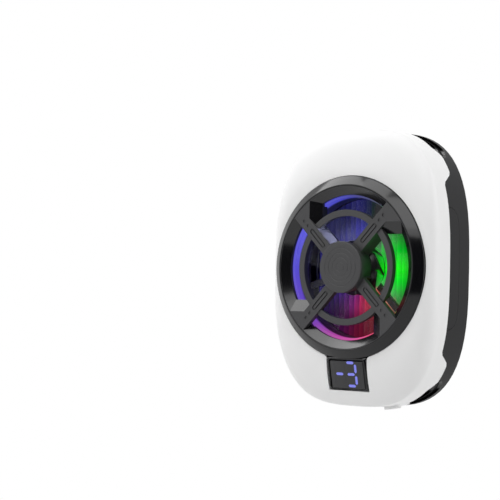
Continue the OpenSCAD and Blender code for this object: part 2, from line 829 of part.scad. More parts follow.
// One segment of a digit, numbered as usual: 0 top, clockwise to 5, and 6 in the middle
module segment(i) {
    upright = [1, 2, 4, 5];
    is_upright = len(search(i, upright)) > 0;
    long = (is_upright ? digit_h/2 : digit_w) - segment_w - 2*segment_gap;
    x = is_upright ? (i < 3 ? 1 : -1)*digit_w/2 : 0;
    y = is_upright ? (i == 1 || i == 5 ? 1 : -1)*digit_h/4 : (i == 0 ? 1 : i == 3 ? -1 : 0)*digit_h/2;
    translate([x, y, 0]) rotate([0, 0, is_upright ? 90 : 0])
        block(long, segment_w, -segment_back, -segment_back + segment_t);
}

module segments(shown) on_display() for (d = [0, 1], i = [0:6])
    if ((len(search(i, lit[d])) > 0) == shown)
        translate([digits_x + (d - 0.5)*digit_pitch, 0, 0]) segment(i);

module segments_lit() color([0.6, 0.6, 1]) stand() segments(true);
module segments_off() color([0.25, 0.25, 0.28]) stand() segments(false);

module display_block() color([0.1, 0.1, 0.11]) stand() on_display()
    block(block_w, block_h, -block_back, -segment_back);

module display_board() color("darkgreen") stand() on_display()
    block(block_w, block_h, -block_back - display_board_t, -block_back);

module display_pins() color("gold") stand() difference() {
    for (i = [0:pin_count - 1]) translate([(i - (pin_count - 1)/2)*pin_pitch, pin_y, 0])
        rod(pin_r, board_top, z_display);
    on_display() block(2*display_w, 2*display_h, -block_back - display_board_t, z_display);
}

// Controls and boards

module mode_button() color("white") stand() {
    intersection() {
        translate([button_x, 0, button_z])
            upright_bar(button_w, button_t, -body_h, button_flange_y + eps);
        slab(-button_proud, 0, z_face);
    }
    translate([button_x, 0, button_z])
        upright_bar(button_w + 2*button_flange_w, button_t + 2*button_flange_w,
                    button_flange_y, button_flange_y + button_flange_t);
}

module switch_plunger() color([0.3, 0.3, 0.3]) stand() translate([button_x, switch_y, button_z])
    cube([plunger_w, plunger_len, plunger_h], center = true);

module tact_switch() color("dimgray") stand() difference() {
    translate([button_x, switch_y + switch_l/2, 0])
        block(switch_w, switch_l, board_top, board_top + switch_h);
    translate([button_x, switch_y, button_z])
        cube([plunger_w + 2*key_gap, plunger_len + 2*button_travel + 2*key_gap, plunger_h + 2*key_gap],
             center = true);
}

module main_board() color("darkgreen") stand() difference() {
    intersection() {
        slab(board_inset, board_z, board_top);
        translate([0, (board_low + board_high)/2, 0])
            block(2*board_half_w, board_high - board_low, board_z, board_top);
    }
    board_posts() rod(small_screw_r + gap, board_z - over, board_top + over);
    translate([button_x, (board_low + notch_y)/2, 0])
        block(notch_w, notch_y - board_low, board_z - over, board_top + over);
}

module board_chips() color([0.12, 0.12, 0.12]) stand() {
    translate([chip_x, chip_y, 0]) block(chip.x, chip.y, board_top, board_top + chip.z);
    translate([chip_x, coil_y, 0]) block(coil.x, coil.y, board_top, board_top + coil.z);
}

module usb_socket() color("silver") stand() translate([0, 0, usb_z]) difference() {
    upright_bar(usb_w, usb_h, usb_y, usb_y + usb_len);
    upright_bar(usb_w - 2*usb_wall, usb_h - 2*usb_wall, usb_y - over, usb_y + usb_len - usb_floor);
}

module usb_tongue() color("black") stand()
    translate([0, usb_y + usb_len - usb_floor - tongue.y/2, usb_z]) cube(tongue, center = true);

module board_screws() color("silver") stand() board_posts() translate([0, 0, board_top]) mirror([0, 0, 1])
    screw(small_screw_r, small_screw_r*head_scale, small_head_t,
          board_top - z_rear_in - board_hole_floor - hole_end);

// Fan

module light_ring() color([0.6, 0.6, 1, 0.7]) stand() tube(light_r_out, light_r_in, z_frame, light_top);

module led_board() color("white") stand()
    tube(led_board_r_out, led_board_r_in, z_frame, z_frame + led_board_t);

module leds() color("lightyellow") stand() for (i = [0:led_count - 1])
    rotate([0, 0, (i + 0.5)*360/led_count]) translate([(led_board_r_in + led_board_r_out)/2, 0, 0])
    block(led_size.x, led_size.y, z_frame + led_board_t, z_frame + led_board_t + led_size.z);

module fan_frame() color([0.1, 0.1, 0.11]) stand() difference() {
    union() {
        tube(led_board_r_out, light_r_in, z_fins, z_frame);
        rod(motor_r, z_fins, z_frame);
        rod(tube_r_out, z_fins, z_bearing_top);
        for (i = [0:strut_count - 1]) rotate([0, 0, strut_start + i*360/strut_count])
            translate([(motor_r + light_r_in)/2, 0, 0])
            block(light_r_in - motor_r + 1, strut_w, z_fins, z_frame);
        for (turn = [45:90:315]) rotate([0, 0, turn]) translate([(light_r_out + ear_xy*sqrt(2))/2, 0, 0])
            block(ear_xy*sqrt(2) - light_r_out, 2*ear_r, z_fins, z_frame);
        corners(ear_xy, ear_xy) rod(ear_r, z_fins, z_frame);
    }
    rod(tube_r_in, z_fins + tube_floor, z_bearing_top + over);
    corners(ear_xy, ear_xy) rod(small_screw_r + gap, z_fins - over, z_frame + over);
}

module fan_screws() color("silver") stand() corners(ear_xy, ear_xy) translate([0, 0, z_fins])
    screw(small_screw_r, small_screw_r*head_scale, small_head_t, fan_screw_len);

module motor_board() color("darkgreen") stand()
    tube(motor_r - motor_board_in, tube_r_out + slip, z_frame, z_frame + motor_board_t);

module stator_core() color([0.45, 0.45, 0.47]) stand() {
    tube(core_r, tube_r_out + slip, z_core, z_core_top);
    for (i = [0:pole_count - 1]) rotate([0, 0, i*360/pole_count]) {
        translate([(core_r + shoe_r - shoe_t)/2, 0, 0])
            block(shoe_r - shoe_t - core_r + 2*key_gap, pole_w, z_core, z_core_top);
        rotate([0, 0, -shoe_angle/2]) rotate_extrude(angle = shoe_angle)
            translate([shoe_r - shoe_t, z_core]) square([shoe_t, z_core_top - z_core]);
    }
}

module stator_coils() color([0.72, 0.4, 0.2]) stand() for (i = [0:pole_count - 1])
    rotate([0, 0, i*360/pole_count]) translate([(core_r + shoe_r - shoe_t)/2, 0, 0]) difference() {
        block(shoe_r - shoe_t - core_r - coil_space, pole_w + 2*coil_t,
              z_core - coil_cover, z_core_top + coil_cover);
        block(2*shoe_r, pole_w + 2*press, z_core - press, z_core_top + press);
    }

module bearing_sleeve() color([0.7, 0.5, 0.25]) stand()
    tube(bearing_r, shaft_r + bearing_gap, z_bearing, z_bearing_top);

module fan_shaft() color("silver") stand() difference() {
    rod(shaft_r, z_fins + tube_floor + shaft_gap, z_rotor_top);
    tube(shaft_r + over, shaft_r - clip_groove, z_clip - clip_t/2 - slip, z_clip + clip_t/2 + slip);
}

module shaft_clip() color("gray") stand()
    tube(clip_r, shaft_r - clip_groove + press, z_clip - clip_t/2, z_clip + clip_t/2);

// One blade: a slice of a thin cylinder along the radius, cut to the rotor's height
module blade() intersection() {
    tube(blade_r, rotor_hub_r - blade_root, blade_low, blade_high);
    translate([0, 0, (blade_low + blade_high)/2]) rotate([blade_pitch, 0, 0]) translate([0, 0, -camber_r])
        rotate([0, 90, 0]) difference() {
            cylinder(r = camber_r + blade_t/2, h = 2*blade_r);
            translate([0, 0, -over]) cylinder(r = camber_r - blade_t/2, h = 2*(blade_r + over));
        }
    translate([0, -camber_r/2, 0]) cube([2*blade_r, camber_r, 2*body_d]);
}

module fan_rotor() color([0.75, 0.78, 0.85, 0.5]) stand() difference() {
    union() {
        rod(rotor_hub_r, z_rotor, z_rotor_top);
        for (i = [0:blade_count - 1]) rotate([0, 0, i*360/blade_count]) blade();
    }
    rod(rotor_in_r, z_rotor - over, z_rotor_top - rotor_top_t);
    rod(shaft_r + press, z_rotor, z_rotor_top + over);
}

module rotor_magnet() color([0.25, 0.25, 0.26]) stand()
    tube(rotor_magnet_r, rotor_magnet_in, z_rotor + magnet_rise, z_rotor_top - rotor_top_t);

// Cooling stack

module heat_sink() color([0.75, 0.76, 0.78]) stand() difference() {
    union() {
        block(2*sink_half_w, 2*sink_half_h, z_peltier, z_sink);
        for (i = [-fin_rows:fin_rows]) translate([i*fin_pitch, 0, 0])
            block(fin_t, 2*fin_half, z_sink - eps, z_fins);
    }
    corners(sink_screw_x, sink_screw_y) rod(small_screw_r + gap, z_peltier - over, z_sink + over);
    corners(boss_x, boss_y) rod(tube_case_r + key_gap, z_peltier - over, z_sink + over);
}

module sink_screws() color("silver") stand() corners(sink_screw_x, sink_screw_y) translate([0, 0, z_sink])
    mirror([0, 0, 1]) screw(small_screw_r, small_screw_r*head_scale, small_head_t,
                            z_sink - z_rear_in - sink_hole_floor - key_gap);

module peltier_hot_plate() color("white") stand()
    block(peltier_w, peltier_w, z_peltier - ceramic_t, z_peltier);

module peltier_cold_plate() color("white") stand()
    block(peltier_w, peltier_w, z_rear_in, z_rear_in + ceramic_t);

module peltier_legs() color([0.3, 0.3, 0.32]) stand() {
    pitch = (peltier_w - 2*leg_edge)/leg_rows;
    for (i = [0:leg_rows - 1], j = [0:leg_rows - 1])
        translate([(i - (leg_rows - 1)/2)*pitch, (j - (leg_rows - 1)/2)*pitch, 0])
        block(pitch*leg_share, pitch*leg_share, z_rear_in + ceramic_t, z_rear_in + ceramic_t + leg_h);
}

module lead_path(r) {
    z = z_rear_in + ceramic_t + leg_h/2;
    translate([0, 0, z]) rotate([90, 0, 0]) rod(r, lead_start, -lead_y);
    translate([0, lead_y, z]) sphere(r);
    translate([0, lead_y, 0]) rod(r, z, board_z);
}

module peltier_leads() color("firebrick") stand()
    for (s = [-1, 1]) translate([s*lead_x, 0, 0]) lead_path(lead_r);

module insulation_ring() color([0.3, 0.3, 0.3]) stand() difference() {
    block(peltier_w + 2*foam_gap + 2*foam_t, peltier_w + 2*foam_gap + 2*foam_t, z_rear_in, z_peltier);
    block(peltier_w + 2*foam_gap, peltier_w + 2*foam_gap, z_rear_in - over, z_peltier + over);
    for (s = [-1, 1]) translate([s*lead_x, 0, 0]) lead_path(lead_r + slip);
}

module temperature_sensor() color("black") stand()
    translate([0, plate_r - sensor.y, 0]) block(sensor.x, sensor.y, z_rear_in, z_rear_in + sensor.z);

module cold_plate() color("silver") stand() {
    rod(plate_r, pad_t, z_flange);
    rod(plate_r + plate_flange_w, z_flange, z_rear_in);
}

module thermal_pad() color([0.5, 0.55, 0.6]) stand() rod(plate_r - pad_inset, 0, pad_t);

// Magnets

module magnets() color("silver") stand() for (i = [0:magnet_count - 1])
    rotate([0, 0, 270 + magnet_gap_angle/2 + i*magnet_step]) rotate_extrude(angle = magnet_step - magnet_slot)
    translate([magnet_r_in, z_rear_in]) square([magnet_r_out - magnet_r_in, magnet_t]);

module magnet_yoke() color("gray") stand()
    tube(magnet_r_out, magnet_r_in, z_rear_in + magnet_t, z_rear_in + magnet_t + yoke_t);

module grip_ring() color([0.25, 0.25, 0.26]) stand()
    tube(grip_r_out, grip_r_in, grip_low, z_rear + grip_sink);

front_shell();
fan_bezel();
fan_grille();
hub_cap();
display_window();
segments_lit();
segments_off();
display_block();
display_board();
display_pins();
mode_button();
switch_plunger();
tact_switch();
main_board();
board_chips();
usb_socket();
usb_tongue();
light_ring();
led_board();
leds();
fan_frame();
motor_board();
stator_core();
stator_coils();
bearing_sleeve();
fan_shaft();
shaft_clip();
fan_rotor();
rotor_magnet();
heat_sink();
peltier_hot_plate();
peltier_legs();
peltier_cold_plate();
peltier_leads();
insulation_ring();
temperature_sensor();
cold_plate();
thermal_pad();
rear_housing();
side_clips();
magnets();
magnet_yoke();
grip_ring();
case_screws();
sink_screws();
fan_screws();
board_screws();
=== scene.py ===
"""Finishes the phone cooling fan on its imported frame: fuller meshes, materials, studio light and camera.

Sizes are in millimetres on the part lying on its back: x to the right, y up the face, z from the phone
side to the front. stand() turns a point of that frame into the upright frame of the CAD, in metres.
"""

import json
import math

import bmesh
import bpy
from mathutils import Matrix, Vector

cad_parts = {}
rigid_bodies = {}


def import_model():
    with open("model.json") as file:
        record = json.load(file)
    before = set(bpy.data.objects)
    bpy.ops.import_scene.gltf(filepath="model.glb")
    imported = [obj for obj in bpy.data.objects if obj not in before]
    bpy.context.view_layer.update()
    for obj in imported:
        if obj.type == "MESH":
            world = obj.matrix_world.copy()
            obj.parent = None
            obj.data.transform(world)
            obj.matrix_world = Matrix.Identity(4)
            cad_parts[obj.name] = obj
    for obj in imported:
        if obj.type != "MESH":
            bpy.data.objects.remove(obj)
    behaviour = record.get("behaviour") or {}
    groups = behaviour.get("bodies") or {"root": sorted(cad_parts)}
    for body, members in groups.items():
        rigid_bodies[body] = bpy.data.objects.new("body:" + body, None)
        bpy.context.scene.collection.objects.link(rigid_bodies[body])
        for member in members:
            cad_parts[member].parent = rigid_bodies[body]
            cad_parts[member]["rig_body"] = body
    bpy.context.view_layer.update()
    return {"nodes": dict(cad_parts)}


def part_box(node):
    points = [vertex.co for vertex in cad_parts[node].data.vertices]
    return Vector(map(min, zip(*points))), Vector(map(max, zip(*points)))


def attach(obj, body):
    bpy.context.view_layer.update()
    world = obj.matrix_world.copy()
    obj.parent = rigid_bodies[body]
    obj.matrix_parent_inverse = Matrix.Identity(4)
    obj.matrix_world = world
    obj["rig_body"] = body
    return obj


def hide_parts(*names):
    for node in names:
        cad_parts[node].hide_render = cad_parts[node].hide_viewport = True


MM = 0.001
UPRIGHT = Matrix(((1, 0, 0), (0, 0, -1), (0, 1, 0)))

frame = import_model()


# Points and sizes

def stand(x, y, z):
    """A point of the lying part, in millimetres, as a point of the upright frame, in metres."""
    return UPRIGHT @ Vector((x, y, z))*MM


def lying_box(node):
    """Lowest and highest corner of a CAD node on the lying part, in millimetres."""
    low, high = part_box(node)
    return Vector((low.x, low.z, -high.y))/MM, Vector((high.x, high.z, -low.y))/MM


SHELL_LOW, SHELL_HIGH = lying_box("front_shell")
HOUSING_HIGH = lying_box("rear_housing")[1]
BEZEL_LOW, BEZEL_HIGH = lying_box("fan_bezel")
GRILLE_LOW, GRILLE_HIGH = lying_box("fan_grille")
CAP_LOW, CAP_HIGH = lying_box("hub_cap")
SOCKET_LOW, SOCKET_HIGH = lying_box("usb_socket")
BUTTON_LOW, BUTTON_HIGH = lying_box("mode_button")
LIGHT_HIGH = lying_box("light_ring")[1]
ROTOR_LOW, ROTOR_HIGH = lying_box("fan_rotor")
FINS_TOP = lying_box("heat_sink")[1].z
ROTOR_HUB_R = 8

# Front shell, with the same rounded edge as the CAD
HOUSING_INSET = 0.25
HALF_W = HOUSING_HIGH.x + HOUSING_INSET
HALF_H = -SHELL_LOW.y
FACE_Z = SHELL_HIGH.z
OUTLINE_POWER = 3
SKIRT_LEAN = 0.4
EDGE_SIDE, SIDE_POWER = 4.6, 2
EDGE_END, END_POWER = 13, 1.45
EDGE_BACK = 4.2
WALL = 1.6
FACE_T = 1.8
SKIRT_SIDE_Z = HOUSING_HIGH.z
SKIRT_END_Z = SHELL_LOW.z
STEP_LOW, STEP_HIGH = 24.7, 27.5
VENT_Y = HALF_H - 8.8
VENT_CURVE, VENT_RISE = 3.6, 2.2
TONGUE_HALF_W = 14.4
SEAM = 0.15

# Bezel and display, whose frame lies on a plane that slopes down towards the bottom
BEZEL_R = BEZEL_HIGH.x
CREST_R = 24
CREST_Z = BEZEL_HIGH.z
SLEEVE_R = 25.4
LEDGE_R = 22.8
FRAME_HALF_W = 7.2
FRAME_LOW = BEZEL_LOW.y
FRAME_LENGTH = 9.8
DISPLAY_TILT = math.radians(12)
DISPLAY_Y = FRAME_LOW + FRAME_LENGTH/2
DISPLAY_Z = FACE_Z - 0.4
FRAME_HALF_H = FRAME_LENGTH/2/math.cos(DISPLAY_TILT)


# Mesh helpers

def new_object(name, data):
    obj = bpy.data.objects.new(name, data)
    bpy.context.scene.collection.objects.link(obj)
    return obj


def smooth(obj, angle=35):
    """Shades smooth, with sharp edges where faces meet at more than the angle."""
    obj.data.shade_smooth()
    obj.data.set_sharp_from_angle(angle=math.radians(angle))


def made(name, bm, angle=35):
    """An upright object from a bmesh of the lying part."""
    bmesh.ops.recalc_face_normals(bm, faces=bm.faces)
    for vertex in bm.verts:
        vertex.co = stand(*vertex.co)
    mesh = bpy.data.meshes.new(name)
    bm.to_mesh(mesh)
    bm.free()
    obj = new_object(name, mesh)
    smooth(obj, angle)
    return obj


def applied(obj):
    """Bakes an object's modifiers into its mesh."""
    graph = bpy.context.evaluated_depsgraph_get()
    mesh = bpy.data.meshes.new_from_object(obj.evaluated_get(graph))
    old = obj.data
    obj.modifiers.clear()
    obj.data = mesh
    bpy.data.meshes.remove(old)
    return obj


def combined(obj, operation, *others):
    """Joins other objects to one, or cuts them out of it, and deletes them."""
    for other in others:
        boolean = obj.modifiers.new("combine", "BOOLEAN")
        boolean.operation = operation
        boolean.solver = "EXACT"
        boolean.object = other
    applied(obj)
    for other in others:
        bpy.data.objects.remove(other)
    return obj


def add_loop(bm, points):
    return [bm.verts.new(point) for point in points]


def bridge(bm, first, second):
    """Quads between two closed loops of as many points."""
    count = len(first)
    for i in range(count):
        j = (i + 1) % count
        bm.faces.new((first[i], first[j], second[j], second[i]))


def arc(centre, radius, start, end, steps=6):
    """Points of an arc in a plane, angles in degrees."""
    angles = [math.radians(start + (end - start)*k/steps) for k in range(steps + 1)]
    return [(centre[0] + radius*math.cos(a), centre[1] + radius*math.sin(a)) for a in angles]


def rounded(corners, steps=5):
    """A closed outline from (x, y, radius) corners, each corner rounded by an arc that touches both sides."""
    points = []
    for k, (x, y, radius) in enumerate(corners):
        corner = Vector((x, y))
        back = (Vector(corners[k - 1][:2]) - corner).normalized()
        ahead = (Vector(corners[(k + 1) % len(corners)][:2]) - corner).normalized()
        if radius == 0:
            points.append(corner)
            continue
        half = back.angle(ahead)/2
        reach = radius/math.tan(half)
        centre = corner + (back + ahead).normalized()*radius/math.sin(half)
        first, last = corner + back*reach - centre, corner + ahead*reach - centre
        turn = first.angle_signed(last)
        for step in range(steps + 1):
            points.append(centre + Matrix.Rotation(-turn*step/steps, 2) @ first)
    return [tuple(point) for point in points]


def lathe(name, profile, steps=192, angle=35):
    """A solid of revolution about z from (radius, z) points: a loop, or a line with both ends on the axis."""
    bm = bmesh.new()
    turns = [2*math.pi*k/steps for k in range(steps)]
    rows = []
    for radius, z in profile:
        if radius == 0:
            rows.append([bm.verts.new((0, 0, z))])
        else:
            rows.append(add_loop(bm, [(radius*math.cos(t), radius*math.sin(t), z) for t in turns]))
    on_axis = len(rows[0]) == 1
    for first, second in zip(rows, rows[1:] if on_axis else rows[1:] + rows[:1]):
        if len(first) == 1 or len(second) == 1:
            tip, rim = (first, second) if len(first) == 1 else (second, first)
            for k in range(steps):
                bm.faces.new((tip[0], rim[k], rim[(k + 1) % steps]))
        else:
            bridge(bm, first, second)
    return made(name, bm, angle)


def stack(name, loops, closed=False, angle=35):
    """A solid from a stack of loops with as many points, capped at both ends or closed into a tube."""
    bm = bmesh.new()
    rings = [add_loop(bm, loop) for loop in loops]
    for first, second in zip(rings, rings[1:] + rings[:1] if closed else rings[1:]):
        bridge(bm, first, second)
    if not closed:
        bm.faces.new(rings[0])
        bm.faces.new(rings[-1])
    return made(name, bm, angle)


def stadium_bar(name, centre, size, low_y, high_y, steps=16):
    """A bar along y whose cross section, in x and z, is a rectangle with round ends."""
    width, height = size
    radius = height/2
    middle = width/2 - radius
    outline = arc((middle, 0), radius, -90, 90, steps) + arc((-middle, 0), radius, 90, 270, steps)
    return stack(name, [[(centre[0] + x, y, centre[1] + z) for x, z in outline] for y in (low_y, high_y)])


def copied(node, bevel=0.0, segments=2, angle=30):
    """A welded copy of a CAD node, with its edges rounded if a width is given."""
    bm = bmesh.new()
    bm.from_mesh(frame["nodes"][node].data)
    bmesh.ops.remove_doubles(bm, verts=bm.verts, dist=0.002*MM)
    if bevel:
        bmesh.ops.dissolve_limit(bm, angle_limit=math.radians(0.5), verts=bm.verts, edges=bm.edges)
    mesh = bpy.data.meshes.new(node + "_piece")
    bm.to_mesh(mesh)
    bm.free()
    obj = new_object(node + "_piece", mesh)
    if bevel:
        rounding = obj.modifiers.new("rounded edges", "BEVEL")
        rounding.width = bevel*MM
        rounding.segments = segments
        rounding.limit_method = "ANGLE"
        rounding.angle_limit = math.radians(angle)
        applied(obj)
    smooth(obj, angle)
    if bevel:
        obj.modifiers.new("flat faces", "WEIGHTED_NORMAL").keep_sharp = True
        applied(obj)
    return obj


def placed(obj, node, material):
    """Lets a piece stand for a CAD node, on that node's body."""
    obj.data.materials.clear()
    obj.data.materials.append(material)
    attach(obj, frame["nodes"][node]["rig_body"])
    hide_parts(node)
    return obj


# Material helpers

def node_adder(tree):
    """A function that adds a node to a tree, with values and links for its inputs."""
    tree.nodes.clear()

    def add(kind, inputs=None, **settings):
        node = tree.nodes.new("ShaderNode" + kind)
        for key, value in settings.items():
            setattr(node, key, value)
        for key, value in (inputs or {}).items():
            if isinstance(value, bpy.types.NodeSocket):
                tree.links.new(value, node.inputs[key])
            else:
                node.inputs[key].default_value = value
        return node

    return add


def new_shader(name):
    """An empty node material and the function that adds nodes to it."""
    material = bpy.data.materials.new(name)
    material.use_nodes = True
    return material, node_adder(material.node_tree)


def rgba(color):
    return (*color, 1)


def grain(add, size, detail=3):
    """Noise with spots of a size in millimetres, fixed to the object."""
    where = add("TexCoord").outputs["Object"]
    return add("TexNoise", {"Vector": where, "Scale": 1/(size*MM), "Detail": detail}).outputs["Fac"]


def bumps(add, size, depth):
    """A surface normal with fine bumps, both sizes in millimetres."""
    return add("Bump", {"Strength": 1, "Distance": depth*MM, "Height": grain(add, size)}).outputs[0]


def mixed_color(add, fac, first, second):
    """A colour that runs from the first to the second."""
    mix = add("Mix", {"Factor": fac}, data_type="RGBA")
    mix.inputs[6].default_value = rgba(first)
    mix.inputs[7].default_value = rgba(second)
    return mix.outputs[2]


def varied_color(add, color, amount, fac):
    """A colour that gets lighter and darker by an amount."""
    light = [min(1, c*(1 + amount)) for c in color]
    dark = [c*(1 - amount) for c in color]
    return mixed_color(add, fac, dark, light)


def moulded(name, color, roughness, spot=0.35, depth=0.004, vary=0.06, specular=0.5, metallic=0.0):
    """Moulded plastic or worked metal: colour and roughness vary a little, over a fine textured skin."""
    material, add = new_shader(name)
    broad = grain(add, 9, detail=2)
    rough = between(add, broad, 0, 1, roughness*0.85, roughness*1.15)
    shader = add("BsdfPrincipled", {
        "Base Color": varied_color(add, color, vary, grain(add, spot)), "Roughness": rough,
        "Specular IOR Level": specular, "Metallic": metallic, "Normal": bumps(add, spot, depth)})
    add("OutputMaterial", {"Surface": shader.outputs[0]})
    return material


def place_round_fan(add):
    """Angle round the fan, distance from its axis and place along it, of a point of the upright part."""
    where = add("NewGeometry").outputs["Position"]
    parts = add("SeparateXYZ", {"Vector": where})
    turn = add("Math", {0: parts.outputs["Z"], 1: parts.outputs["X"]}, operation="ARCTAN2")
    across = add("VectorMath", {0: where, 1: (1, 0, 1)}, operation="MULTIPLY")
    radius = add("VectorMath", {0: across.outputs[0]}, operation="LENGTH")
    return turn.outputs[0], radius.outputs["Value"], parts.outputs["Y"]


def turned_to_front(add):
    """How far a face is turned to the front: 1 when it faces it, 0 when it stands edge on."""
    parts = add("SeparateXYZ", {"Vector": add("TexCoord").outputs["Normal"]})
    return add("Math", {0: parts.outputs["Y"], 1: -1.0}, operation="MULTIPLY").outputs[0]


def between(add, value, start, end, first, last):
    """A value that runs from first at start to last at end, and stays there beyond them."""
    return add("MapRange", {"Value": value, "From Min": start, "From Max": end, "To Min": first,
                            "To Max": last}).outputs[0]


def product(add, first, *others):
    """Values multiplied by each other."""
    for other in others:
        first = add("Math", {0: first, 1: other}, operation="MULTIPLY").outputs[0]
    return first


def color_ramp(add, fac, stops):
    """A colour from (position, colour) stops, by a value from 0 to 1."""
    ramp = add("ValToRGB", {"Fac": fac})
    elements = ramp.color_ramp.elements
    while len(elements) < len(stops):
        elements.new(0.5)
    for element, (position, color) in zip(elements, stops):
        element.position = position
        element.color = rgba(color)
    return ramp.outputs[0]


def angle_colors(add, stops, turn):
    """A colour that changes with the angle round the fan, from (degrees, colour) stops."""
    share = between(add, turn, -math.pi, math.pi, 0, 1)
    return color_ramp(add, share, [((degrees + 180)/360, color) for degrees, color in stops])


def ring_light(stops, strength, top, lit_depth):
    """The light guide: a glow near its front edge, whose colour changes with the angle round the fan."""
    material, add = new_shader("light_guide")
    turn, _, along = place_round_fan(add)
    full_depth, dim = lit_depth*0.6, 0.04
    fade = between(add, along, (lit_depth - top)*MM, (full_depth - top)*MM, dim, strength)
    shader = add("BsdfPrincipled", {
        "Base Color": rgba((0.05, 0.05, 0.06)), "Roughness": 0.4, "Normal": bumps(add, 0.6, 0.004),
        "Emission Color": angle_colors(add, stops, turn), "Emission Strength": fade})
    add("OutputMaterial", {"Surface": shader.outputs[0]})
    return material


def painted_light_fins(name, color, roughness, stops, strength, top):
    """Aluminium fins with the ring's coloured light painted on as emission: brightest on their tips, and on
    their sides at the right, fading outward and deeper down.
    """
    near, far, far_share = 12*MM, 16*MM, 0.35
    lit_depth, deep_share = 5, 0.1
    right_end, right_share, other_share = math.radians(50), 0.6, 0.2
    material, add = new_shader(name)
    turn, radius, along = place_round_fan(add)
    # Painted light: the ring's glow on the fins, as emission that fades outward from the axis and deeper down
    outward = between(add, radius, near, far, 1, far_share)
    depth = between(add, along, -top*MM, (lit_depth - top)*MM, 1, deep_share)
    from_right = add("Math", {0: turn}, operation="ABSOLUTE").outputs[0]
    sides = between(add, from_right, right_end, right_end*1.4, right_share, other_share)
    tips = between(add, turned_to_front(add), 0.8, 0.9, 0, 1)
    lit = add("Math", {0: sides, 1: tips}, operation="MAXIMUM").outputs[0]
    shader = add("BsdfPrincipled", {
        "Base Color": varied_color(add, color, 0.06, grain(add, 0.25)), "Roughness": roughness, "Metallic": 0.3,
        "Normal": bumps(add, 0.25, 0.003), "Emission Color": angle_colors(add, stops, turn),
        "Emission Strength": product(add, outward, depth, lit, strength)})
    add("OutputMaterial", {"Surface": shader.outputs[0]})
    return material


def polished_slopes(name, color, roughness, polished_color, polished_roughness, specular=0.5, flat_painted_shade=None):
    """Textured plastic with polished slopes, as from a part-polished mould, and faces turned to the front
    painted in a given colour as shade, if one is given.
    """
    material, add = new_shader(name)
    lean = turned_to_front(add)
    none, full = (0, 0, 0), (1, 1, 1)
    sloped = color_ramp(add, lean, [(0.45, none), (0.55, full), (0.92, full), (0.96, none)])
    textured = add("BsdfPrincipled", {
        "Base Color": varied_color(add, color, 0.2, grain(add, 0.3)), "Roughness": roughness,
        "Specular IOR Level": specular, "Normal": bumps(add, 0.3, 0.006)})
    polished = add("BsdfPrincipled", {
        "Base Color": varied_color(add, polished_color, 0.1, grain(add, 0.3)), "Roughness": polished_roughness,
        "Normal": bumps(add, 0.6, 0.001)})
    mix = add("MixShader", {0: sloped, 1: textured.outputs[0], 2: polished.outputs[0]})
    # Painted shade: faces turned to the front get a flat dark colour
    if flat_painted_shade:
        flat = between(add, lean, 0.93, 0.97, 0, 1)
        matte = add("BsdfDiffuse", {"Color": rgba(flat_painted_shade)})
        mix = add("MixShader", {0: flat, 1: mix.outputs[0], 2: matte.outputs[0]})
    add("OutputMaterial", {"Surface": mix.outputs[0]})
    return material


def clear_blades(name, color, haze, stops, strength):
    """Clear plastic with a milky haze, on a dark hub whose wall has the ring's coloured light painted on as
    emission, brighter deeper down.
    """
    hub_color, top_share, edge = (0.012, 0.012, 0.013), 0.1, 0.1
    material, add = new_shader(name)
    turn, radius, along = place_round_fan(add)
    clear = between(add, radius, (ROTOR_HUB_R + edge)*MM, (ROTOR_HUB_R + 2*edge)*MM, 0, 1)
    hub = between(add, clear, 0, 1, 1, 0)
    # Painted light: the hub wall gets the ring's colours as emission, brighter deeper down
    wall = between(add, turned_to_front(add), 0.2, 0.5, 1, 0)
    low = between(add, along, -ROTOR_HIGH.z*MM, -ROTOR_LOW.z*MM, top_share, 1)
    shader = add("BsdfPrincipled", {
        "Base Color": mixed_color(add, clear, hub_color, color), "Roughness": 0.3,
        "Alpha": between(add, clear, 0, 1, 1, haze), "Normal": bumps(add, 0.5, 0.003),
        "Emission Color": angle_colors(add, stops, turn),
        "Emission Strength": product(add, hub, wall, low, strength)})
    add("OutputMaterial", {"Surface": shader.outputs[0]})
    return material


def glow(name, color, strength):
    """A lit lens with a slightly uneven glow."""
    material, add = new_shader(name)
    shader = add("BsdfPrincipled", {
        "Base Color": rgba(color), "Roughness": 0.4, "Emission Strength": strength,
        "Emission Color": varied_color(add, color, 0.12, grain(add, 0.5))})
    add("OutputMaterial", {"Surface": shader.outputs[0]})
    return material


# Front shell

def oval_radius(turn, half_w, half_h):
    """Distance from the axis to a rounded oval in one direction."""
    across, along = abs(math.cos(turn))/half_w, abs(math.sin(turn))/half_h
    return (across**OUTLINE_POWER + along**OUTLINE_POWER)**(-1/OUTLINE_POWER)


def edge_share(height, power):
    """Share of a rounded edge's width that lies outside a height, from 0 at its top to 1 at its foot."""
    return 1 - (1 - (1 - height)**power)**(1/power)


def level_radius(turn, height):
    """Distance from the axis to the face's rounded edge where it has dropped by a share of its depth."""
    half_w = HALF_W - SKIRT_LEAN - EDGE_SIDE*edge_share(height, SIDE_POWER)
    half_h = HALF_H - SKIRT_LEAN - EDGE_END*edge_share(height, END_POWER)
    return oval_radius(turn, half_w, half_h)


def bisect(is_low, low, high):
    """The place between low and high where is_low stops being true."""
    for _ in range(40):
        middle = (low + high)/2
        if is_low(middle):
            low = middle
        else:
            high = middle
    return low


def face_drop(turn, radius):
    """How far the face has dropped at a distance from the axis."""
    return EDGE_BACK*bisect(lambda height: level_radius(turn, height) < radius, 0, 1)


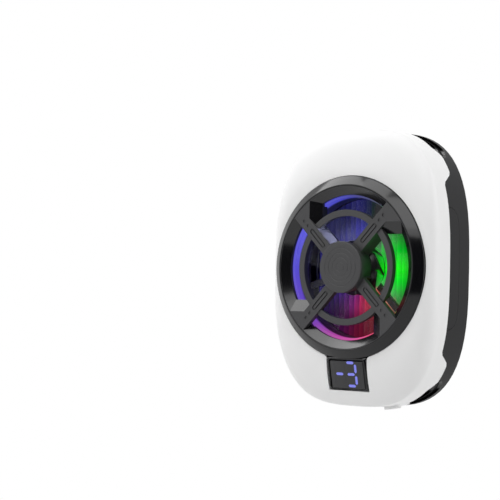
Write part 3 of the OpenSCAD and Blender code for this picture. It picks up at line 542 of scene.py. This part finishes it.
def skirt_low(x, y):
    """Height of the skirt's lower edge: shallow along the sides, deep at the ends, cut into by the vents."""
    step = min(1, max(0, (abs(y) - STEP_LOW)/(STEP_HIGH - STEP_LOW)))
    deep = SKIRT_SIDE_Z + (SKIRT_END_Z - SKIRT_SIDE_Z)*step
    if y < 0 and abs(x) < TONGUE_HALF_W:
        return deep
    opened = min(1, max(0, (abs(y) - VENT_Y)/VENT_CURVE))
    return deep + VENT_RISE*opened**2*(3 - 2*opened)


KEYHOLE_R = BEZEL_R + SEAM
KEYHOLE_HALF_W = FRAME_HALF_W + SEAM
KEYHOLE_LOW = FRAME_LOW - SEAM
KEYHOLE_FILLET = 1.2


def in_keyhole(x, y):
    """Whether a point lies in the face's opening for the bezel and the display."""
    if math.hypot(x, y) < KEYHOLE_R or (abs(x) < KEYHOLE_HALF_W and KEYHOLE_LOW < y < 0):
        return True
    centre_x = KEYHOLE_HALF_W + KEYHOLE_FILLET
    centre_y = -math.sqrt((KEYHOLE_R + KEYHOLE_FILLET)**2 - centre_x**2)
    inside = abs(x) < centre_x and centre_y < y < 0 and abs(x)/-y < centre_x/-centre_y
    return inside and math.hypot(abs(x) - centre_x, y - centre_y) > KEYHOLE_FILLET


def keyhole_radius(turn):
    """Distance from the axis to the edge of the face's opening."""
    return bisect(lambda r: in_keyhole(r*math.cos(turn), r*math.sin(turn)), BEZEL_R*0.9, HALF_H)


def shell_turns():
    """Angles of the shell's columns, closer together along the sides of the display."""
    even = [math.radians(1.5*k) for k in range(240)]
    corner = math.atan2(KEYHOLE_LOW, KEYHOLE_HALF_W)
    root = math.atan2(-BEZEL_R, KEYHOLE_HALF_W + 2*KEYHOLE_FILLET)
    steps = 20
    fine = [root + (corner - root)*k/steps for k in range(steps + 1)]
    fine += [-math.pi - turn for turn in fine]
    fine = [turn % (2*math.pi) for turn in fine]
    spread = math.radians(0.4)
    kept = [turn for turn in even if all(abs(turn - other) > spread for other in fine)]
    return sorted(kept + fine)


def shell_column(turn, inner):
    """Points of the shell's outer or inner surface at one angle, from the opening to the skirt's lower edge."""
    face_rows, skirt_rows = 28, 8
    opening = keyhole_radius(turn)
    rim = level_radius(turn, 1)
    points = []

    def add_point(radius, z, share):
        if inner:
            radius -= WALL*share
            z -= FACE_T*(1 - share)
        points.append((radius*math.cos(turn), radius*math.sin(turn), z))

    for k in range(face_rows + 1):
        share = k/face_rows
        radius = rim + (opening - rim)*(1 - share)**2
        add_point(radius, FACE_Z - face_drop(turn, radius), share**3)
    top = FACE_Z - EDGE_BACK
    reach = oval_radius(turn, HALF_W, HALF_H)
    low = skirt_low(reach*math.cos(turn), reach*math.sin(turn))
    for k in range(1, skirt_rows + 1):
        z = top + (low - top)*k/skirt_rows
        inset = SKIRT_LEAN*(z - SKIRT_END_Z)/(top - SKIRT_END_Z)
        add_point(oval_radius(turn, HALF_W - inset, HALF_H - inset), z, 1)
    return points


def front_shell():
    """The white front casing, with its openings for the socket and the button."""
    columns = [shell_column(turn, False) + shell_column(turn, True)[::-1] for turn in shell_turns()]
    shell = stack("front_shell_piece", columns, closed=True, angle=40)
    gap, flange = 0.15, 0.7
    outside, inside = -HALF_H - 2, -HALF_H + 6
    socket = stadium_bar(
        "socket_hole", ((SOCKET_LOW.x + SOCKET_HIGH.x)/2, (SOCKET_LOW.z + SOCKET_HIGH.z)/2),
        (SOCKET_HIGH.x - SOCKET_LOW.x + 2*gap, SOCKET_HIGH.z - SOCKET_LOW.z + 2*gap), outside, inside)
    button = stadium_bar(
        "button_hole", ((BUTTON_LOW.x + BUTTON_HIGH.x)/2, (BUTTON_LOW.z + BUTTON_HIGH.z)/2),
        (BUTTON_HIGH.x - BUTTON_LOW.x - 2*(flange - gap), BUTTON_HIGH.z - BUTTON_LOW.z - 2*(flange - gap)),
        outside, inside)
    combined(shell, "DIFFERENCE", socket, button)
    smooth(shell, 40)
    return shell


# Bezel, hub cap and display

def on_display(x, y, z):
    """A point of the display's own tilted plane."""
    return (x, DISPLAY_Y + y*math.cos(DISPLAY_TILT) - z*math.sin(DISPLAY_TILT),
            DISPLAY_Z + y*math.sin(DISPLAY_TILT) + z*math.cos(DISPLAY_TILT))


def display_loop(half_w, low, high, radius, z):
    """A rectangle with round corners on the display's plane."""
    outline = rounded([(half_w, low, radius), (half_w, high, radius), (-half_w, high, radius),
                       (-half_w, low, radius)])
    return [on_display(x, y, z) for x, y in outline]


def fan_bezel():
    """The black trim: a ring with a sloping flank and the display's frame below it."""
    low = BEZEL_LOW.z
    seat = GRILLE_LOW.z
    toe = FACE_Z - 0.5
    foot = toe + 0.8
    ring = lathe("fan_bezel_piece", rounded([
        (LEDGE_R, low, 0.1), (SLEEVE_R, low, 0.1), (SLEEVE_R, toe, 0), (BEZEL_R, toe, 0.05),
        (BEZEL_R, foot, 0.3), (CREST_R + 0.35, CREST_Z, 0.5), (CREST_R, CREST_Z, 0.2), (CREST_R, seat, 0),
        (LEDGE_R, seat, 0.1)]))
    flank, rim, drop = 0.5, 0.45, 0.8
    top, bottom = FRAME_HALF_H, -FRAME_HALF_H
    inner_w = FRAME_HALF_W - flank - rim
    depth = DISPLAY_Z - low
    loops = [display_loop(FRAME_HALF_W, bottom, top, 0.6, -depth),
             display_loop(FRAME_HALF_W, bottom, top, 0.6, -drop),
             display_loop(FRAME_HALF_W - flank + 0.08, bottom + 0.2, top - 0.3, 0.9, -0.1),
             display_loop(FRAME_HALF_W - flank - 0.05, bottom + 0.3, top - 0.4, 0.9, 0),
             display_loop(inner_w + 0.1, bottom + 0.45, top - 0.8, 0.6, 0),
             display_loop(inner_w, bottom + 0.5, top - 0.9, 0.5, -0.1),
             display_loop(inner_w, bottom + 0.5, top - 0.9, 0.5, -depth)]
    surround = stack("display_surround", loops, closed=True)
    combined(ring, "UNION", surround)
    smooth(ring, 32)
    return ring


def hub_cap():
    """The round cap, with plain fine rings on its front."""
    low, seat, top = CAP_LOW.z, GRILLE_HIGH.z, CAP_HIGH.z
    radius = CAP_HIGH.x
    pin = 2.4
    soft = 0.3
    edge = [(radius, seat)] + arc((radius - soft, top - soft), soft, 0, 90)
    groove_w, groove_d = 0.12, 0.05
    face = []
    for ring in (5.6, 4.2, 2.8, 1.4):
        face += [(ring + groove_w, top), (ring + groove_w/2, top - groove_d),
                 (ring - groove_w/2, top - groove_d), (ring - groove_w, top)]
    return lathe("hub_cap_piece", [(0, low), (pin, low), (pin, seat)] + edge + face + [(0, top)], angle=20)


WINDOW_HALF_W = 6.0
WINDOW_LOW, WINDOW_HIGH = -4.7, 3.75
WINDOW_SINK = 0.12
DIGIT_HALF_W, DIGIT_HALF_H = 1.73, 3.49
DIGIT_PITCH = 4.14
DIGIT_Y = -0.17
LAST_DIGIT_X = 1.45
SEGMENT_W = 0.8


def display_window():
    """The smoked window, a slab with softened edges."""
    back, soft = -1.6, 0.18
    loops = [display_loop(WINDOW_HALF_W, WINDOW_LOW, WINDOW_HIGH, 0.3, back),
             display_loop(WINDOW_HALF_W, WINDOW_LOW, WINDOW_HIGH, 0.3, -WINDOW_SINK - soft),
             display_loop(WINDOW_HALF_W - soft/3, WINDOW_LOW + soft/3, WINDOW_HIGH - soft/3, 0.3,
                          -WINDOW_SINK - soft/3),
             display_loop(WINDOW_HALF_W - soft, WINDOW_LOW + soft, WINDOW_HIGH - soft, 0.3, -WINDOW_SINK)]
    return stack("display_window_piece", loops, angle=50)


def segment_outline(number):
    """One segment of a digit, numbered as usual: 0 at the top, clockwise to 5, and 6 in the middle."""
    upright = number in (1, 2, 4, 5)
    length = (DIGIT_HALF_H if upright else 2*DIGIT_HALF_W) - 0.75
    tip, half = length/2, SEGMENT_W/2
    shape = [(tip, 0), (tip - half, half), (half - tip, half),
             (-tip, 0), (half - tip, -half), (tip - half, -half)]
    if upright:
        side = 1 if number in (1, 2) else -1
        up = 1 if number in (1, 5) else -1
        return [(side*DIGIT_HALF_W + y, up*DIGIT_HALF_H/2 + x) for x, y in shape]
    return [(x, {0: 1, 3: -1, 6: 0}[number]*DIGIT_HALF_H + y) for x, y in shape]


def segments(name, digits, proud):
    """Segments of both digits as thin pointed bars in the window's front."""
    bm = bmesh.new()
    back = -0.2
    for place, numbers in enumerate(digits):
        digit_x = LAST_DIGIT_X + (place - 1)*DIGIT_PITCH
        for number in numbers:
            outline = [(x + digit_x, y + DIGIT_Y) for x, y in segment_outline(number)]
            ends = [add_loop(bm, [on_display(x, y, z - WINDOW_SINK) for x, y in outline])
                    for z in (back, proud)]
            bridge(bm, *ends)
            for end in ends:
                bm.faces.new(end)
    return made(name, bm)


# Materials

white = moulded("shell_white", (0.80, 0.80, 0.80), 0.42, spot=0.25, depth=0.002, vary=0.015)
# The housing's faces turned to the front are painted near black, as the deep shade in its vents
housing = polished_slopes("housing_black", (0.006, 0.006, 0.007), 0.45, (0.03, 0.03, 0.03), 0.22, specular=0.2,
                          flat_painted_shade=(0.002, 0.002, 0.002))
bezel = moulded("bezel_black", (0.004, 0.004, 0.005), 0.13, spot=0.3, depth=0.001, vary=0.1, specular=0.4)
cap = moulded("cap_grey", (0.034, 0.034, 0.036), 0.45, spot=0.3, depth=0.006, vary=0.2)
guard = polished_slopes("guard_grey", (0.034, 0.034, 0.036), 0.45, (0.006, 0.006, 0.007), 0.16)
inner = moulded("inner_black", (0.03, 0.03, 0.033), 0.45)
board = moulded("board_green", (0.02, 0.09, 0.04), 0.4, vary=0.15)
board_white = moulded("board_white", (0.7, 0.7, 0.68), 0.4, vary=0.05)
gold = moulded("contact_gold", (0.75, 0.55, 0.22), 0.3, metallic=1.0)
steel = moulded("steel", (0.55, 0.55, 0.56), 0.32, metallic=1.0, vary=0.08)
copper = moulded("copper_wire", (0.62, 0.26, 0.12), 0.35, metallic=1.0, spot=0.2, depth=0.02)
bronze = moulded("bearing_bronze", (0.45, 0.30, 0.14), 0.4, metallic=1.0)
aluminium = moulded("plate_aluminium", (0.72, 0.73, 0.75), 0.3, metallic=1.0, spot=0.25, depth=0.003)
ceramic = moulded("module_ceramic", (0.78, 0.78, 0.75), 0.5)
legs = moulded("module_legs", (0.30, 0.30, 0.32), 0.45, metallic=1.0)
lead = moulded("lead_red", (0.5, 0.03, 0.02), 0.45)
foam = moulded("foam_grey", (0.12, 0.12, 0.12), 0.9, spot=0.4, depth=0.06, vary=0.3)
pad = moulded("pad_grey", (0.22, 0.23, 0.24), 0.7, spot=0.5, depth=0.01)
nickel = moulded("magnet_nickel", (0.6, 0.59, 0.56), 0.25, metallic=1.0)
magnet = moulded("magnet_black", (0.04, 0.04, 0.042), 0.55)
rubber = moulded("grip_rubber", (0.018, 0.018, 0.018), 0.75, spot=0.4, depth=0.01, vary=0.2)
window = moulded("display_glass", (0.018, 0.018, 0.020), 0.32, spot=0.3, depth=0.003, vary=0.2)
segment_off = moulded("segment_dark", (0.018, 0.018, 0.021), 0.35)
segment_on = glow("segment_glow", (0.16, 0.17, 0.62), 0.45)
lens = glow("led_lens", (0.8, 0.85, 1.0), 0.5)

# Colours of the ring's light, and of the painted light of its glow on the fins and the hub wall, by the angle
# round the fan from the right
RING_COLORS = [
    (-180, (0.09, 0.07, 0.66)), (-135, (0.16, 0.06, 0.55)), (-115, (0.36, 0.06, 0.38)),
    (-90, (0.60, 0.05, 0.35)), (-60, (0.85, 0.03, 0.08)), (-42, (0.85, 0.12, 0.08)),
    (-32, (0.02, 0.85, 0.02)), (-15, (0.0, 0.85, 0.01)), (30, (0.0, 0.85, 0.03)),
    (60, (0.03, 0.04, 0.06)), (85, (0.03, 0.03, 0.24)), (105, (0.06, 0.06, 0.55)),
    (135, (0.12, 0.12, 0.75)), (180, (0.09, 0.07, 0.66))]
# Painted light: colours of the ring's glow, painted as emission on the fins and the hub wall
PAINTED_LIGHT_COLORS = [
    (-180, (0.04, 0.02, 0.8)), (-150, (0.04, 0.015, 0.4)), (-130, (0.14, 0.015, 0.28)),
    (-115, (0.4, 0.02, 0.36)), (-100, (0.9, 0.02, 0.18)), (-85, (1.0, 0.03, 0.1)), (-60, (0.8, 0.15, 0.1)),
    (-47, (0.45, 0.28, 0.2)), (-40, (0.05, 0.4, 0.08)), (-20, (0.0, 0.7, 0.02)), (0, (0.0, 0.95, 0.0)),
    (25, (0.0, 0.6, 0.02)), (45, (0.04, 0.4, 0.06)), (65, (0.08, 0.2, 0.1)), (82, (0.08, 0.16, 0.12)),
    (92, (0.08, 0.09, 0.6)), (100, (0.09, 0.08, 1.0)), (118, (0.08, 0.08, 0.55)), (140, (0.1, 0.1, 0.6)),
    (180, (0.04, 0.02, 0.8))]
guide = ring_light(RING_COLORS, 0.9, LIGHT_HIGH.z, 3)
# Fins with the ring's coloured light painted on as emission
painted_light_sink = painted_light_fins("sink_aluminium", (0.05, 0.05, 0.055), 0.4, PAINTED_LIGHT_COLORS, 1.8, FINS_TOP)
blades_painted_hub_light = clear_blades("blade_clear", (0.8, 0.82, 0.85), 0.03, PAINTED_LIGHT_COLORS, 0.75)

# Pieces

placed(front_shell(), "front_shell", white)
placed(fan_bezel(), "fan_bezel", bezel)
placed(hub_cap(), "hub_cap", cap)
placed(display_window(), "display_window", window)
placed(segments("segments_lit_piece", [[6], [0, 1, 2, 3, 6]], 0.02), "segments_lit", segment_on)
placed(segments("segments_off_piece", [[0, 1, 2, 3, 4, 5], [4, 5]], 0.005), "segments_off", segment_off)

DRESSED = [
    ("rear_housing", housing, "housing_black", 0.12), ("side_clips", housing, "housing_black", 0.3),
    ("display_block", inner, "inner_black", 0.1), ("display_board", board, "board_green", 0.05),
    ("display_pins", gold, "contact_gold", 0.05), ("mode_button", white, "shell_white", 0.3),
    ("switch_plunger", inner, "inner_black", 0.1), ("tact_switch", steel, "switch_steel", 0.1),
    ("main_board", board, "board_green", 0), ("board_chips", inner, "inner_black", 0.08),
    ("usb_socket", steel, "socket_steel", 0.08), ("usb_tongue", inner, "inner_black", 0.08),
    ("light_ring", guide, "light_guide", 0.15), ("led_board", board_white, "board_white", 0),
    ("leds", lens, "led_lens", 0.1), ("fan_frame", inner, "inner_black", 0),
    ("motor_board", board, "board_green", 0), ("stator_core", steel, "core_steel", 0),
    ("stator_coils", copper, "copper_wire", 0.1), ("bearing_sleeve", bronze, "bearing_bronze", 0.1),
    ("fan_shaft", steel, "shaft_steel", 0.1), ("shaft_clip", inner, "inner_black", 0.05),
    ("fan_rotor", blades_painted_hub_light, "blade_clear", 0), ("rotor_magnet", magnet, "magnet_black", 0.1),
    ("heat_sink", painted_light_sink, "sink_aluminium", 0), ("peltier_hot_plate", ceramic, "module_ceramic", 0.05),
    ("peltier_legs", legs, "module_legs", 0.05), ("peltier_cold_plate", ceramic, "module_ceramic", 0.05),
    ("peltier_leads", lead, "lead_red", 0), ("insulation_ring", foam, "foam_grey", 0),
    ("temperature_sensor", inner, "inner_black", 0.1), ("cold_plate", aluminium, "sink_aluminium", 0.15),
    ("thermal_pad", pad, "pad_grey", 0.1), ("magnets", nickel, "magnet_nickel", 0.15),
    ("magnet_yoke", steel, "core_steel", 0.05), ("grip_ring", rubber, "grip_rubber", 0.2),
    ("case_screws", steel, "screw_steel", 0.1), ("sink_screws", steel, "screw_steel", 0.1),
    ("fan_screws", steel, "screw_steel", 0.1), ("board_screws", steel, "screw_steel", 0.1)]
for node, material, slot, bevel in DRESSED:
    placed(copied(node, bevel), node, material)
placed(copied("fan_grille", 0.12, angle=20), "fan_grille", guard)


# Stage, light and camera

def backdrop_share(add):
    """1 for rays that show the white surroundings, 0 for those that only gather light."""
    rays = add("LightPath").outputs
    seen = add("Math", {0: rays["Is Camera Ray"], 1: rays["Is Glossy Ray"]}, operation="MAXIMUM")
    both = add("Math", {0: seen.outputs[0], 1: rays["Is Transmission Ray"]}, operation="MAXIMUM")
    return both.outputs[0]


def floor():
    """A pale round floor far below the part, which fades into the white surroundings."""
    radius, level = 800, -260
    fade_start, fade_end, middle_share = 0.3, 0.78, 0.7
    bm = bmesh.new()
    bm.faces.new(add_loop(bm, [(x, level, z) for x, z in arc((0, 0), radius, 0, 354, 59)]))
    obj = made("floor", bm)
    material, add = new_shader("floor_pale")
    matte = add("BsdfDiffuse", {"Color": varied_color(add, (0.88, 0.88, 0.88), 0.01, grain(add, 60))})
    light = add("Emission", {"Color": rgba((1, 1, 1)), "Strength": 1.0})
    away = add("VectorMath", {0: add("TexCoord").outputs["Object"]}, operation="LENGTH")
    fade = between(add, away.outputs["Value"], fade_start, fade_end, middle_share, 1)
    share = product(add, backdrop_share(add), fade)
    mix = add("MixShader", {0: share, 1: matte.outputs[0], 2: light.outputs[0]})
    add("OutputMaterial", {"Surface": mix.outputs[0]})
    obj.data.materials.append(material)


def facing(direction, distance):
    """Where an object stands that faces the part from a direction of the lying frame, and how it is turned."""
    place = stand(*(Vector(direction).normalized()*distance))
    turned = (-place).to_track_quat("-Z", "Y").to_matrix().to_4x4()
    turned.translation = place
    return turned


def dark_card(name, direction, distance, size):
    """A black studio card, which the polished black trim mirrors."""
    half_w, half_h = size[0]/2, size[1]/2
    mesh = bpy.data.meshes.new(name)
    corners = [(-half_w, -half_h, 0), (half_w, -half_h, 0), (half_w, half_h, 0), (-half_w, half_h, 0)]
    mesh.from_pydata(corners, [], [(0, 1, 2, 3)])
    obj = new_object(name, mesh)
    obj.matrix_world = facing(direction, distance)
    material, add = new_shader(name)
    cloth = add("BsdfDiffuse", {"Color": varied_color(add, (0.01, 0.01, 0.01), 0.2, grain(add, 3))})
    add("OutputMaterial", {"Surface": cloth.outputs[0]})
    mesh.materials.append(material)
    obj.visible_camera = False


def softbox(name, direction, distance, size, power, mirrored=True):
    """An area light that faces the part from a direction of the lying frame."""
    lamp = bpy.data.lights.new(name, "AREA")
    lamp.shape = "RECTANGLE"
    lamp.size, lamp.size_y = size
    lamp.energy = power
    obj = new_object(name, lamp)
    obj.matrix_world = facing(direction, distance)
    obj.visible_camera = False
    obj.visible_glossy = mirrored


def spot(name, place, aim, color, power, cone):
    """A small coloured lamp of the lying part, which neither shows itself nor is mirrored."""
    lamp = bpy.data.lights.new(name, "SPOT")
    lamp.color = color
    lamp.energy = power
    lamp.spot_size = math.radians(cone)
    lamp.spot_blend = 0.6
    lamp.shadow_soft_size = 1.5*MM
    obj = new_object(name, lamp)
    obj.matrix_world = (stand(*aim) - stand(*place)).to_track_quat("-Z", "Y").to_matrix().to_4x4()
    obj.matrix_world.translation = stand(*place)
    obj.visible_camera = False
    obj.visible_glossy = False


def surroundings(ambient):
    """White all round for what is seen and mirrored, and a soft even light for the rest."""
    world = bpy.data.worlds.new("studio")
    bpy.context.scene.world = world
    world.use_nodes = True
    add = node_adder(world.node_tree)
    strength = between(add, backdrop_share(add), 0, 1, ambient, 1)
    light = add("Background", {"Color": rgba((1, 1, 1)), "Strength": strength})
    add("OutputWorld", {"Surface": light.outputs[0]})


def camera():
    """The photograph's view: the face is seen from its right side."""
    yaw, pitch, roll = math.radians(40.26), math.radians(-1.94), math.radians(-1.18)
    distance, lens = 450, 110.16
    aim = Vector((28.82, -5.14))
    view = Matrix.Rotation(roll, 3, "Z") @ Matrix.Rotation(pitch, 3, "X") @ Matrix.Rotation(-yaw, 3, "Y")
    back = view.transposed()
    place = back @ Vector((-aim.x, -aim.y, distance))
    data = bpy.data.cameras.new("camera")
    data.lens = lens
    data.sensor_width = 36
    data.clip_start = 0.01
    obj = new_object("camera", data)
    turned = (UPRIGHT @ back).to_4x4()
    turned.translation = stand(place.x, place.y, place.z + FACE_Z)
    obj.matrix_world = turned
    bpy.context.scene.camera = obj


floor()
surroundings(0.67)
softbox("key", (-0.65, 0.72, 0.25), 700, (0.35, 0.35), 1.4)
softbox("high", (-0.2, 0.86, 0.47), 700, (0.3, 0.3), 0.85)
softbox("front", (0.3, 0.65, 0.7), 700, (0.4, 0.4), 1.3)
softbox("side", (0.95, 0.3, -0.05), 700, (0.4, 0.7), 1.6)
softbox("fill", (-0.8, -0.4, 0.4), 700, (0.4, 0.4), 1.2, mirrored=False)
dark_card("camera_side_card", (0.62, 0.0, 0.78), 750, (1.1, 0.9))
dark_card("low_card", (-0.64, -0.7, 0.32), 700, (0.6, 0.5))
# Light from the ring that reaches the wall of the guard's upper left spoke
spot("guard_spill", (4, 11.5, 18.9), (-8, 9, 21), (0.62, 0.65, 1.0), 0.06, 34)
camera()
bpy.context.scene.view_settings.view_transform = "Standard"
